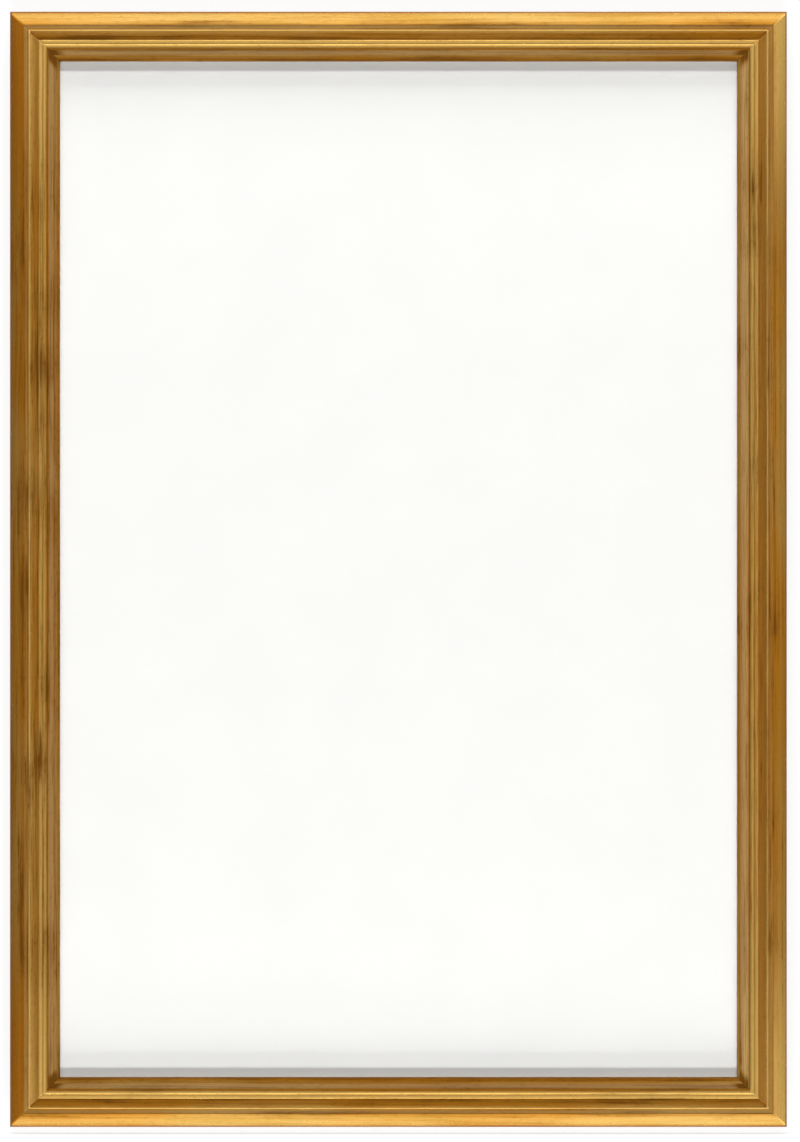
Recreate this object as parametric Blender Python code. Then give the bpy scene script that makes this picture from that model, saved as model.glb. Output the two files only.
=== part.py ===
"""Wall picture frame: four mitred mouldings, a glazed picture pack, turn buttons and ring hangers.

Metres, +Z up. The wall is the plane y = 0 and the frame faces -Y. The origin is the middle of the
outline on the wall. Left and right are as seen from the front.
"""

import math

import bmesh
import bpy
from mathutils import Matrix, Vector

# Opening that shows the picture
SIGHT_WIDTH = 0.600
SIGHT_HEIGHT = 0.900

# Moulding: widths across its face, from the outer edge to the sight edge
OUTER_SLOPE_WIDTH = 0.0113
FILLET_WIDTH = 0.0037
RIDGE_BEAD_WIDTH = 0.0023
COVE_WIDTH = 0.0075
OUTER_TWIN_WIDTH = 0.0031
INNER_TWIN_WIDTH = 0.0037
QUIRK_WIDTH = 0.0016
SIGHT_BAND_WIDTH = 0.0048
LIP_ROUND_WIDTH = 0.0060

# Moulding: rises towards the front, from the rabbet's roof at the sight edge outwards
LIP_EDGE_RISE = 0.0028
LIP_ROUND_RISE = 0.0032
QUIRK_RISE = 0.0014
TWIN_BEAD_RISE = 0.0012
COVE_RISE = 0.0040
RIDGE_BEAD_RISE = 0.0010
FILLET_SINK = 0.0006
OUTER_SLOPE_FALL = 0.0075

# Moulding: how far each curve stands off the straight line between its ends
OUTER_SLOPE_BULGE = 0.0008
COVE_HOLLOW = 0.0003
QUIRK_HOLLOW = 0.0003
LIP_BULGE = 0.0008
ARRIS_EASE = 0.0008
MITRE_GAP = 0.0003

# Picture pack in the rabbet
LIP_OVERLAP = 0.0060
PACK_CLEARANCE = 0.0010
GLAZING_THICKNESS = 0.0020
SHEET_THICKNESS = 0.0006
FILLER_THICKNESS = 0.0030
BACKING_THICKNESS = 0.0030
SEAT_GAP = 0.0003

# V-nails across the mitres, each with one leg in either rail
V_NAIL_LEG = 0.0060
V_NAIL_THICKNESS = 0.0008
V_NAIL_DEPTH = 0.0100
V_NAIL_OUTER_INSET = 0.0110
V_NAIL_INNER_INSET = 0.0250

# Pan-head wood screws
SCREW_HEAD_DIAMETER = 0.0064
SCREW_HEAD_HEIGHT = 0.0021
SCREW_RIM_HEIGHT = 0.0007
SCREW_CROWN_DIAMETER = 0.0036
SCREW_CROWN_BULGE = 0.0002
SCREW_SHANK_DIAMETER = 0.0030
SCREW_LENGTH = 0.0125
SCREW_POINT_LENGTH = 0.0030
RECESS_SPAN = 0.0034
RECESS_SLOT = 0.0009
RECESS_DEPTH = 0.0012
HOLE_CLEARANCE = 0.0003

# Turn buttons that hold the backing board in
BUTTON_LENGTH = 0.0300
BUTTON_WIDTH = 0.0110
BUTTON_THICKNESS = 0.0012
BUTTON_PIVOT_INSET = 0.0075
BUTTON_END_INSET = 0.1500
LONG_RAIL_BUTTONS = 3
SHORT_RAIL_BUTTONS = 2

# Hangers on the backs of the side rails: a strip folded round a D-ring
STRAP_WIDTH = 0.0110
STRAP_THICKNESS = 0.0010
STRAP_CORNER = 0.0040
STRAP_NECK = 0.0029
STRAP_EYE_WRAP_DEG = 240.0
STRAP_SCREW_PITCH = 0.0140
STRAP_END_INSET = 0.0060
RING_WIRE_DIAMETER = 0.0026
RING_CORNER_RADIUS = 0.0030
RING_LEG = 0.0020
RING_SIDE_GAP = 0.0005
RING_FOLD_CLEARANCE = 0.0025
HANGER_DROP = 0.2200

# Rubber bumpers that keep the frame off the wall
BUMPER_HEIGHT = 0.0060
BUMPER_DIAMETER = 0.0120
BUMPER_EDGE = 0.0010
BUMPER_EDGE_BULGE = 0.0003
BUMPER_FLARE = 0.0008
BUMPER_END_INSET = 0.0600

# Facets
SMOOTH_ANGLE = math.radians(35)
ROUND_SIDES = 14
END_STEPS = 6
CROWN_STEPS = 3
RING_STEPS = 12
EYE_STEPS = 24
SLOPE_STEPS = 8
BEAD_STEPS = 6
SAME_PLACE = 1e-6

# Worked out from the sizes above
RAIL_WIDTH = (
    OUTER_SLOPE_WIDTH + FILLET_WIDTH + RIDGE_BEAD_WIDTH + COVE_WIDTH + OUTER_TWIN_WIDTH
    + INNER_TWIN_WIDTH + QUIRK_WIDTH + SIGHT_BAND_WIDTH + LIP_ROUND_WIDTH
)
OUTER_WIDTH = SIGHT_WIDTH + 2 * RAIL_WIDTH
OUTER_HEIGHT = SIGHT_HEIGHT + 2 * RAIL_WIDTH
BACK_WIDTH = RAIL_WIDTH - LIP_OVERLAP
PACK_LAYERS = (
    ("backing_board", BACKING_THICKNESS),
    ("filler_board", FILLER_THICKNESS),
    ("picture_sheet", SHEET_THICKNESS),
    ("glazing", GLAZING_THICKNESS),
)
RABBET_DEPTH = sum(thickness + SEAT_GAP for _, thickness in PACK_LAYERS)
PACK_WIDTH = SIGHT_WIDTH + 2 * LIP_OVERLAP - 2 * PACK_CLEARANCE
PACK_HEIGHT = SIGHT_HEIGHT + 2 * LIP_OVERLAP - 2 * PACK_CLEARANCE
RAIL_BACK_Y = -(BUMPER_HEIGHT + SEAT_GAP)
HOLE_RADIUS = SCREW_SHANK_DIAMETER / 2 + HOLE_CLEARANCE
RING_RADIUS = RING_WIRE_DIAMETER / 2
RING_WIDTH = STRAP_WIDTH + 2 * (RING_SIDE_GAP + RING_CORNER_RADIUS)
RING_CROWN = RING_CORNER_RADIUS + RING_LEG
RING_REACH = RING_CROWN + RING_WIDTH / 2 + RING_RADIUS
EYE_RADIUS = RING_RADIUS + HOLE_CLEARANCE + STRAP_THICKNESS / 2
RING_AXIS_Y = SEAT_GAP + STRAP_THICKNESS / 2 + EYE_RADIUS
STRAP_STACK = 2 * STRAP_THICKNESS + SEAT_GAP
UPPER_STRAP_SCREW_Z = -(RING_REACH + RING_FOLD_CLEARANCE + SCREW_HEAD_DIAMETER / 2)
LOWER_STRAP_SCREW_Z = UPPER_STRAP_SCREW_Z - STRAP_SCREW_PITCH
STRAP_TAIL_Z = LOWER_STRAP_SCREW_Z - STRAP_END_INSET

# Clockwise from the top: each side begins at the corner listed with it
SIDES = ("top", "right", "bottom", "left")
CORNERS = ("top_left", "top_right", "bottom_right", "bottom_left")
# Which way along its own X each side is numbered, so that numbers run rightwards and downwards
NUMBERING = (1, 1, -1, -1)


def clear_scene():
    for obj in list(bpy.data.objects):
        bpy.data.objects.remove(obj, do_unlink=True)


def finish(name, colour, roughness, metallic=0.0, alpha=1.0):
    made = bpy.data.materials.new(name)
    made.use_nodes = True
    shader = made.node_tree.nodes["Principled BSDF"]
    shader.inputs["Base Color"].default_value = (*colour, 1.0)
    shader.inputs["Roughness"].default_value = roughness
    shader.inputs["Metallic"].default_value = metallic
    shader.inputs["Alpha"].default_value = alpha
    return made


def place(name, data, parent, location=(0, 0, 0), turn=0.0):
    """An object under its parent, turned about Y. With no data it is an empty."""
    obj = bpy.data.objects.new(name, data)
    bpy.context.scene.collection.objects.link(obj)
    obj.parent = parent
    obj.location = location
    obj.rotation_euler = (0, turn, 0)
    return obj


def with_finish(obj, material):
    """The object with its material, held by the object so that copies can share a mesh."""
    if not obj.data.materials:
        obj.data.materials.append(None)
    obj.material_slots[0].link = "OBJECT"
    obj.material_slots[0].material = material
    return obj


def as_cutter(obj):
    obj.hide_render = True
    obj.display_type = "WIRE"
    return obj


def cut(target, cutter):
    boolean = target.modifiers.new(cutter.name, "BOOLEAN")
    boolean.operation = "DIFFERENCE"
    boolean.solver = "EXACT"
    boolean.object = cutter


def round_shaded(mesh):
    mesh.shade_smooth()
    mesh.set_sharp_from_angle(angle=SMOOTH_ANGLE)
    return mesh


def mesh_from(bm, name):
    bmesh.ops.recalc_face_normals(bm, faces=bm.faces)
    mesh = bpy.data.meshes.new(name)
    bm.to_mesh(mesh)
    bm.free()
    return mesh


def sweep(bm, outline, along):
    """Extrudes a closed outline of points by a vector."""
    face = bm.faces.new([bm.verts.new(point) for point in outline])
    grown = bmesh.ops.extrude_face_region(bm, geom=[face])["geom"]
    moved = [item for item in grown if isinstance(item, bmesh.types.BMVert)]
    bmesh.ops.translate(bm, vec=along, verts=moved)


def extruded(name, outline, along):
    bm = bmesh.new()
    sweep(bm, outline, along)
    return mesh_from(bm, name)


def turned(name, profile):
    """A profile of (radius, y) points from axis to axis, spun about Y."""
    bm = bmesh.new()
    points = [bm.verts.new((radius, y, 0)) for radius, y in profile]
    edges = [bm.edges.new(pair) for pair in zip(points, points[1:])]
    bmesh.ops.spin(
        bm,
        geom=points + edges,
        cent=(0, 0, 0),
        axis=(0, 1, 0),
        angle=math.tau,
        steps=ROUND_SIDES,
    )
    bmesh.ops.remove_doubles(bm, verts=bm.verts, dist=SAME_PLACE)
    return round_shaded(mesh_from(bm, name))


def less_cutters(name, body, cutters):
    """The mesh of body less its cutters, for a piece that repeats."""
    whole = place(name, body, None)
    tools = [as_cutter(place(mesh.name, mesh, None)) for mesh in cutters]
    for tool in tools:
        cut(whole, tool)
    graph = bpy.context.evaluated_depsgraph_get()
    made = bpy.data.meshes.new_from_object(whole.evaluated_get(graph))
    made.name = name
    for helper in [whole, *tools]:
        bpy.data.objects.remove(helper, do_unlink=True)
    return round_shaded(made)


def arc(start, end, bulge, steps):
    """Points after start, up to end, on an arc whose middle stands bulge to the left of its chord."""
    start = Vector(start)
    end = Vector(end)
    chord = end - start
    out = Vector((-chord.y, chord.x)).normalized()
    half = chord.length / 2
    radius = (half**2 + bulge**2) / (2 * bulge)
    centre = (start + end) / 2 + out * (bulge - radius)
    spread = 2 * math.atan2(bulge, half)
    points = []
    for step in range(1, steps + 1):
        angle = spread * (2 * step / steps - 1)
        points.append(centre + radius * (chord.normalized() * math.sin(angle) + out * math.cos(angle)))
    return points


def moulding_outline():
    """The moulding's section as (distance from the outer edge, height off its back)."""
    sight_level = RABBET_DEPTH + LIP_EDGE_RISE
    band_level = sight_level + LIP_ROUND_RISE
    twin_level = band_level + QUIRK_RISE
    fillet_level = twin_level + COVE_RISE
    slope_top = fillet_level + FILLET_SINK
    wall_top = slope_top - OUTER_SLOPE_FALL

    points = [Vector((0, 0)), Vector((0, wall_top - ARRIS_EASE))]
    points += arc((0, wall_top), (OUTER_SLOPE_WIDTH, slope_top), OUTER_SLOPE_BULGE, SLOPE_STEPS)
    across = OUTER_SLOPE_WIDTH
    points.append(Vector((across, fillet_level)))
    across += FILLET_WIDTH
    points.append(Vector((across, fillet_level)))
    curves = (
        (RIDGE_BEAD_WIDTH, fillet_level, RIDGE_BEAD_RISE),
        (COVE_WIDTH, twin_level, -COVE_HOLLOW),
        (OUTER_TWIN_WIDTH, twin_level, TWIN_BEAD_RISE),
        (INNER_TWIN_WIDTH, twin_level, TWIN_BEAD_RISE),
        (QUIRK_WIDTH, band_level, -QUIRK_HOLLOW),
    )
    for width, level, bulge in curves:
        across += width
        points += arc(points[-1], (across, level), bulge, BEAD_STEPS)
    points.append(Vector((across + SIGHT_BAND_WIDTH, band_level)))
    points += arc(points[-1], (RAIL_WIDTH, sight_level), LIP_BULGE, BEAD_STEPS)
    rabbet = ((RAIL_WIDTH, RABBET_DEPTH), (BACK_WIDTH, RABBET_DEPTH), (BACK_WIDTH, 0))
    return points + [Vector(corner) for corner in rabbet]


def rail_mesh(name, length):
    """A length of moulding along X, its outer back edge on the axis, mitred at both ends."""
    bm = bmesh.new()
    section = [(-length / 2, -height, -across) for across, height in moulding_outline()]
    sweep(bm, section, (length, 0, 0))
    for end in (-1, 1):
        normal = Vector((end, 0, -1)).normalized()
        corner = Vector((end * length / 2, 0, 0))
        sliced = bmesh.ops.bisect_plane(
            bm,
            geom=bm.verts[:] + bm.edges[:] + bm.faces[:],
            plane_co=corner - normal * MITRE_GAP / 2,
            plane_no=normal,
            clear_outer=True,
        )
        rim = [item for item in sliced["geom_cut"] if isinstance(item, bmesh.types.BMEdge)]
        bmesh.ops.edgeloop_fill(bm, edges=rim)
    return round_shaded(mesh_from(bm, name))


def v_nail_mesh(name, back, clearance):
    """A right-angled V in plan, its corner on the mitre, from this far behind the rail's back."""
    half = V_NAIL_THICKNESS / 2 + clearance
    reach = V_NAIL_LEG + clearance
    corners = (
        (-half, half),
        (reach, half),
        (reach, -half),
        (half, -half),
        (half, -reach),
        (-half, -reach),
    )
    depth = back + V_NAIL_DEPTH + clearance
    return extruded(name, [(x, back, z) for x, z in corners], (0, -depth, 0))


def recess_mesh():
    """The cross cut into a screw's head, as a plus-shaped prism."""
    arm = RECESS_SPAN / 2
    slot = RECESS_SLOT / 2
    plan = []
    for quarter in range(4):
        turn = Matrix.Rotation(quarter * math.pi / 2, 2)
        plan += [turn @ Vector(point) for point in ((slot, slot), (slot, arm), (-slot, arm))]
    floor = SCREW_HEAD_HEIGHT - RECESS_DEPTH
    return extruded("recess", [(x, floor, z) for x, z in plan], (0, 2 * RECESS_DEPTH, 0))


def screw_mesh():
    """A pan-head screw on the Y axis, the underside of its head at y = 0 and its point to the front."""
    head = SCREW_HEAD_DIAMETER / 2
    shank = SCREW_SHANK_DIAMETER / 2
    crown = (SCREW_CROWN_DIAMETER / 2, SCREW_HEAD_HEIGHT)
    profile = [(0, SCREW_HEAD_HEIGHT), crown]
    profile += arc(crown, (head, SCREW_RIM_HEIGHT), SCREW_CROWN_BULGE, CROWN_STEPS)
    profile += [(head, 0), (shank, 0), (shank, SCREW_POINT_LENGTH - SCREW_LENGTH), (0, -SCREW_LENGTH)]
    return less_cutters("screw", turned("screw_blank", profile), [recess_mesh()])


def drill_mesh(name, top, bottom):
    """A screw's clearance hole on the Y axis, between two heights."""
    return turned(name, [(0, top), (HOLE_RADIUS, top), (HOLE_RADIUS, bottom), (0, bottom)])


def pilot_mesh(head_seat):
    """The hole in a rail for a screw whose head stands head_seat off the rail's back."""
    return drill_mesh("pilot", SEAT_GAP, head_seat - SCREW_LENGTH - HOLE_CLEARANCE)


def half_circle(centre_z, radius, direction):
    """Points from +X to -X round the end that lies in this direction of Z."""
    angles = [math.pi * step / (2 * END_STEPS) for step in range(2 * END_STEPS + 1)]
    return [(radius * math.cos(a), centre_z + direction * radius * math.sin(a)) for a in angles]


def turn_button_mesh():
    """A flat plate with round ends, its pivot hole on the Y axis and its arm along -Z."""
    radius = BUTTON_WIDTH / 2
    plan = half_circle(0, radius, 1) + half_circle(BUTTON_WIDTH - BUTTON_LENGTH, radius, -1)[::-1]
    plate = extruded("plate", [(x, 0, z) for x, z in plan], (0, BUTTON_THICKNESS, 0))
    hole = drill_mesh("pivot_hole", BUTTON_THICKNESS + SEAT_GAP, -SEAT_GAP)
    return less_cutters("turn_button", plate, [hole])


def offset(path, distance):
    """The path of (y, z) points moved sideways by distance, with mitred corners."""
    runs = [(after - before).normalized() for before, after in zip(path, path[1:])]
    moved = []
    for point, before, after in zip(path, runs[:1] + runs, runs + runs[-1:]):
        side = Vector((-after.y, after.x))
        normal = (side + Vector((-before.y, before.x))).normalized()
        moved.append(point + normal * distance / normal.dot(side))
    return moved


def strap_mesh():
    """A strip folded round the ring's bar on the X axis: one leaf on the rail, the other on top of it."""
    lower = -EYE_RADIUS
    upper = lower + STRAP_THICKNESS + SEAT_GAP
    path = [Vector((lower, STRAP_TAIL_Z))]
    for step in range(EYE_STEPS + 1):
        angle = math.radians(STRAP_EYE_WRAP_DEG) * step / EYE_STEPS
        path.append(EYE_RADIUS * Vector((-math.cos(angle), math.sin(angle))))
    path += [Vector((upper, -(EYE_RADIUS + STRAP_NECK))), Vector((upper, STRAP_TAIL_Z))]
    section = offset(path, STRAP_THICKNESS / 2) + offset(path, -STRAP_THICKNESS / 2)[::-1]

    bm = bmesh.new()
    sweep(bm, [(-STRAP_WIDTH / 2, y, z) for y, z in section], (STRAP_WIDTH, 0, 0))
    tail_corners = []
    for edge in bm.edges:
        low, high = edge.verts
        at_tail = all(abs(v.co.z - STRAP_TAIL_Z) < SAME_PLACE for v in edge.verts)
        if at_tail and abs(low.co.x - high.co.x) < SAME_PLACE:
            tail_corners.append(edge)
    # The corners are no rounder than the strip's width allows.
    bmesh.ops.bevel(
        bm,
        geom=tail_corners,
        offset=min(STRAP_CORNER, STRAP_WIDTH / 2 - SEAT_GAP),
        offset_type="OFFSET",
        segments=CROWN_STEPS,
        profile=0.5,
        affect="EDGES",
    )
    holes = []
    for z in (UPPER_STRAP_SCREW_Z, LOWER_STRAP_SCREW_Z):
        hole = drill_mesh("strap_hole", EYE_RADIUS, -RING_AXIS_Y)
        hole.transform(Matrix.Translation((0, 0, z)))
        holes.append(hole)
    return less_cutters("hanger_strap", mesh_from(bm, "strip"), holes)


def ring_curve():
    """A D of round wire: a straight bar on the X axis, two legs and a round top."""
    half = RING_WIDTH / 2
    corner = []
    for step in range(END_STEPS + 1):
        angle = math.pi / 2 * (step / END_STEPS - 1)
        x = half + RING_CORNER_RADIUS * (math.cos(angle) - 1)
        corner.append((x, RING_CORNER_RADIUS * (math.sin(angle) + 1)))
    top = []
    for step in range(RING_STEPS + 1):
        angle = math.pi * step / RING_STEPS
        top.append((half * math.cos(angle), RING_CROWN + half * math.sin(angle)))
    points = corner + top + [(-x, z) for x, z in reversed(corner)]

    curve = bpy.data.curves.new("hanger_ring", "CURVE")
    curve.dimensions = "3D"
    curve.bevel_depth = RING_RADIUS
    curve.bevel_resolution = 2
    spline = curve.splines.new("POLY")
    spline.points.add(len(points) - 1)
    for target, (x, z) in zip(spline.points, points):
        target.co = (x, 0, z, 1)
    spline.use_cyclic_u = True
    return curve


def bumper_mesh():
    """A round rubber foot, wider at the rail, its flat end on the wall side."""
    radius = BUMPER_DIAMETER / 2
    flat_edge = (radius - BUMPER_EDGE, BUMPER_HEIGHT)
    profile = [(0, BUMPER_HEIGHT), flat_edge]
    profile += arc(flat_edge, (radius, BUMPER_HEIGHT - BUMPER_EDGE), BUMPER_EDGE_BULGE, CROWN_STEPS)
    profile += [(radius + BUMPER_FLARE, 0), (0, 0)]
    return turned("wall_bumper", profile)


def spread_along(span, count):
    """Evenly spaced places on a rail, the end ones in from its corners. A single one is in the middle."""
    if count == 1:
        return [0.0]
    reach = span / 2 - BUTTON_END_INSET
    return [reach * (2 * index / (count - 1) - 1) for index in range(count)]


def side_frames(root, reaches):
    """An empty at the middle of each rail's outer back edge, its +Z away from the opening."""
    frames = []
    for index, (side, reach) in enumerate(zip(SIDES, reaches)):
        turn = index * math.pi / 2
        spot = (reach * math.sin(turn), RAIL_BACK_Y, reach * math.cos(turn))
        frames.append(place(f"{side}_side", None, root, spot, turn))
    return frames


def add_rails(frames, spans):
    gilt = finish("gilded_wood", (0.60, 0.34, 0.08), 0.38, 0.85)
    rails = []
    for side, frame, span in zip(SIDES, frames, spans):
        name = f"{side}_rail"
        rails.append(with_finish(place(name, rail_mesh(name, span), frame), gilt))
    return rails


def add_v_nails(frames, spans, rails):
    steel = finish("v_nail_steel", (0.45, 0.46, 0.48), 0.35, 1.0)
    nail = v_nail_mesh("v_nail", -SEAT_GAP, 0.0)
    slot = v_nail_mesh("v_nail_slot", SEAT_GAP, SEAT_GAP)
    insets = (("outer", V_NAIL_OUTER_INSET), ("inner", V_NAIL_INNER_INSET))
    for index, (corner, frame, span) in enumerate(zip(CORNERS, frames, spans)):
        for word, inset in insets:
            spot = (inset - span / 2, 0, -inset)
            with_finish(place(f"v_nail_{corner}_{word}", nail, frame, spot), steel)
            cutter = as_cutter(place(f"slot_{corner}_{word}", slot, frame, spot))
            cut(rails[index], cutter)
            cut(rails[index - 1], cutter)


def add_pack(root):
    finishes = {
        "backing_board": finish("hardboard", (0.30, 0.19, 0.11), 0.75),
        "filler_board": finish("grey_board", (0.55, 0.52, 0.47), 0.9),
        "picture_sheet": finish("white_paper", (0.90, 0.90, 0.89), 0.85),
        "glazing": finish("clear_glass", (0.95, 0.97, 0.96), 0.03, 0.0, 0.15),
    }
    depth = 0.0
    for name, thickness in PACK_LAYERS:
        half_width = PACK_WIDTH / 2
        half_height = PACK_HEIGHT / 2
        corners = ((-1, -1), (1, -1), (1, 1), (-1, 1))
        sheet = extruded(
            name, [(x * half_width, 0, z * half_height) for x, z in corners], (0, -thickness, 0)
        )
        with_finish(place(name, sheet, root, (0, RAIL_BACK_Y - depth, 0)), finishes[name])
        depth += thickness + SEAT_GAP


def add_turn_buttons(frames, spans, rails, screw, zinc):
    brassed = finish("brassed_steel", (0.62, 0.47, 0.20), 0.32, 1.0)
    button = turn_button_mesh()
    head_seat = SEAT_GAP + BUTTON_THICKNESS + SEAT_GAP
    pilot = pilot_mesh(head_seat)
    pivot_z = BUTTON_PIVOT_INSET - BACK_WIDTH
    counts = (SHORT_RAIL_BUTTONS, LONG_RAIL_BUTTONS) * 2
    for side, frame, span, rail, count, order in zip(SIDES, frames, spans, rails, counts, NUMBERING):
        for number, along in enumerate(spread_along(span, count)[::order], start=1):
            label = f"{side}_{number}"
            with_finish(place(f"turn_button_{label}", button, frame, (along, SEAT_GAP, pivot_z)), brassed)
            with_finish(place(f"button_screw_{label}", screw, frame, (along, head_seat, pivot_z)), zinc)
            cut(rail, as_cutter(place(f"pilot_{label}", pilot, frame, (along, 0, pivot_z))))


def add_hangers(root, rails, screw, zinc):
    nickel = finish("nickelled_steel", (0.66, 0.65, 0.62), 0.28, 1.0)
    strap = strap_mesh()
    ring = ring_curve()
    head_seat = SEAT_GAP + STRAP_STACK + SEAT_GAP
    pilot = pilot_mesh(head_seat)
    screws = (("upper", UPPER_STRAP_SCREW_Z), ("lower", LOWER_STRAP_SCREW_Z))
    for side, sign in (("left", -1), ("right", 1)):
        x = sign * (OUTER_WIDTH - BACK_WIDTH) / 2
        spot = (x, RAIL_BACK_Y + RING_AXIS_Y, OUTER_HEIGHT / 2 - HANGER_DROP)
        axis = place(f"hanger_axis_{side}", None, root, spot)
        with_finish(place(f"hanger_strap_{side}", strap, axis), nickel)
        with_finish(place(f"hanger_ring_{side}", ring, axis), nickel)
        for word, z in screws:
            label = f"{side}_{word}"
            seat = (0, head_seat - RING_AXIS_Y, z)
            with_finish(place(f"hanger_screw_{label}", screw, axis, seat), zinc)
            hole = as_cutter(place(f"pilot_hanger_{label}", pilot, axis, (0, -RING_AXIS_Y, z)))
            cut(rails[SIDES.index(side)], hole)


def add_bumpers(root):
    rubber = finish("black_rubber", (0.025, 0.025, 0.027), 0.7)
    bumper = bumper_mesh()
    for side, sign in (("left", -1), ("right", 1)):
        x = sign * (OUTER_WIDTH / 2 - BUMPER_END_INSET)
        spot = (x, RAIL_BACK_Y + SEAT_GAP, (BACK_WIDTH - OUTER_HEIGHT) / 2)
        with_finish(place(f"wall_bumper_{side}", bumper, root, spot), rubber)


def build():
    clear_scene()
    root = place("picture_frame", None, None)
    spans = (OUTER_WIDTH, OUTER_HEIGHT) * 2
    frames = side_frames(root, (OUTER_HEIGHT / 2, OUTER_WIDTH / 2) * 2)
    rails = add_rails(frames, spans)
    add_v_nails(frames, spans, rails)
    add_pack(root)
    screw = screw_mesh()
    zinc = finish("zinc_plated_steel", (0.60, 0.60, 0.62), 0.33, 1.0)
    add_turn_buttons(frames, spans, rails, screw, zinc)
    add_hangers(root, rails, screw, zinc)
    add_bumpers(root)


build()
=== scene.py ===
import math

import bmesh
import bpy
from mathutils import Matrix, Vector


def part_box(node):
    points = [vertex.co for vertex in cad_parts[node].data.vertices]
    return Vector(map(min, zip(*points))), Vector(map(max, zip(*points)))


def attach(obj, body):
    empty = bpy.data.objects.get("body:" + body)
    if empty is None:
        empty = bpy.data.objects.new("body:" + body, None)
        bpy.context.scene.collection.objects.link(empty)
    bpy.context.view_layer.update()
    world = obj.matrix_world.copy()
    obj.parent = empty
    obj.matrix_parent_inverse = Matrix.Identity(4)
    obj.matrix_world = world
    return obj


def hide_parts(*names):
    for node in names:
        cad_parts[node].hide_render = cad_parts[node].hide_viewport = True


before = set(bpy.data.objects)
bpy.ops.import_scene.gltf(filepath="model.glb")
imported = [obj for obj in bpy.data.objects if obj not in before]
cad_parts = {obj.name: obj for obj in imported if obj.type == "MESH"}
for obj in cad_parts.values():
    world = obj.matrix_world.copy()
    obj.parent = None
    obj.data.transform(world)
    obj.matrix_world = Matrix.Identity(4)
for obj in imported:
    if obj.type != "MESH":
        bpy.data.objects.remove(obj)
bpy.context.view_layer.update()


# Rails: four lengths of softwood moulding, coated in gesso and red clay, gilded, rubbed back along the
# edges and glazed brown in the hollows. Their colour also holds painted shade over the lip and along the
# side rails, and painted light and highlights on the side rails. One long stick is run to the section,
# then cut into the four rails with mitred ends. The outer walls are stained, and the backs and rabbets
# are left bare.

frame_width = 0.688
frame_height = 0.988
rail_back = -0.0063
rail_width = 0.044
wall_height = 0.0143
wall_ease = 0.0009
back_ease = 0.0004
lip_underside = 0.0098
rabbet_wall = 0.0380
stick_length = 1.0
stick_cuts = 249
mitre_gap = 0.00005
crease_angle = math.radians(35)
same_place = 1e-5
exact_place = 1e-6

# Each run of the section: where it ends, as distance from the outer edge and height off the back, how
# far it bulges off a straight line, and its steps
moulding = (
    ((0.0000, wall_height), 0, 1),
    ((0.0122, 0.0218), 0.0008, 22),
    ((0.0122, 0.0212), 0, 1),
    ((0.0161, 0.0212), 0, 3),
    ((0.0186, 0.0212), 0.0010, 14),
    ((0.0248, 0.0172), -0.0003, 14),
    ((0.0288, 0.0172), 0.0007, 16),
    ((0.0329, 0.0172), 0.0007, 16),
    ((0.0341, 0.0158), -0.0003, 8),
    ((0.0382, 0.0158), 0, 4),
    ((rail_width, 0.0126), 0.0008, 14),
    ((rail_width, lip_underside), 0, 1),
    ((rabbet_wall, lip_underside), 0, 1),
    ((rabbet_wall, 0.0000), 0, 1),
)
# Arrises that sanding has eased: where, how far and in how many steps
eased_arrises = (
    ((0.0000, wall_height), wall_ease, 4),
    ((0.0122, 0.0218), 0.0002, 2),
    ((rail_width, 0.0126), 0.0002, 2),
    ((rail_width, lip_underside), 0.0003, 2),
    ((0.0000, 0.0000), 0.0006, 2),
    ((rabbet_wall, 0.0000), back_ease, 2),
)


def bent(start, end, bulge, steps):
    """Points after start, up to end, on a line that bulges this far in its middle."""
    chord = end - start
    side = Vector((-chord.y, chord.x)).normalized()
    half = chord.length / 2
    spread = 2 * math.atan2(abs(bulge), half)
    points = []
    for step in range(1, steps + 1):
        share = 2 * step / steps - 1
        if bulge:
            radius = half / math.sin(spread)
            reach = radius * math.sin(spread * share)
            lift = radius * (math.cos(spread * share) - math.cos(spread)) * math.copysign(1, bulge)
        else:
            reach, lift = half * share, 0
        points.append((start + end) / 2 + chord.normalized() * reach + side * lift)
    return points


def draw_line(name, points):
    """Opens a new piece and draws a line through the points, pulling each one on from the last."""
    bpy.ops.object.select_all(action="DESELECT")
    bpy.ops.mesh.primitive_plane_add(size=0.001)
    piece = bpy.context.object
    piece.name = name
    bpy.ops.object.mode_set(mode="EDIT")
    bpy.ops.mesh.select_mode(type="VERT")
    bpy.ops.mesh.select_all(action="SELECT")
    bpy.ops.mesh.merge(type="CENTER")
    bpy.ops.transform.translate(value=points[0])
    for before, after in zip(points, points[1:]):
        bpy.ops.mesh.extrude_region_move(TRANSFORM_OT_translate={"value": after - before})
    return piece


def pick(piece, kind, wanted):
    """Selects just those vertices, edges or faces of the open piece that are wanted."""
    bpy.ops.mesh.select_mode(type=kind)
    bpy.ops.mesh.select_all(action="DESELECT")
    mesh = bmesh.from_edit_mesh(piece.data)
    for part in {"VERT": mesh.verts, "EDGE": mesh.edges, "FACE": mesh.faces}[kind]:
        part.select_set(bool(wanted(part)))
    mesh.select_flush_mode()
    bmesh.update_edit_mesh(piece.data)


def work(piece, kind, **settings):
    """Puts a modifier on the piece and applies it."""
    bpy.context.view_layer.objects.active = piece
    modifier = piece.modifiers.new(kind.lower(), kind)
    for setting, value in settings.items():
        setattr(modifier, setting, value)
    bpy.ops.object.modifier_apply(modifier=modifier.name)


def copy_of(pattern, name):
    """A copy of the pattern with its own mesh, alone in the selection."""
    bpy.ops.object.select_all(action="DESELECT")
    pattern.select_set(True)
    bpy.context.view_layer.objects.active = pattern
    bpy.ops.object.duplicate()
    piece = bpy.context.object
    piece.name = name
    piece.data.name = name
    return piece


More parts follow.
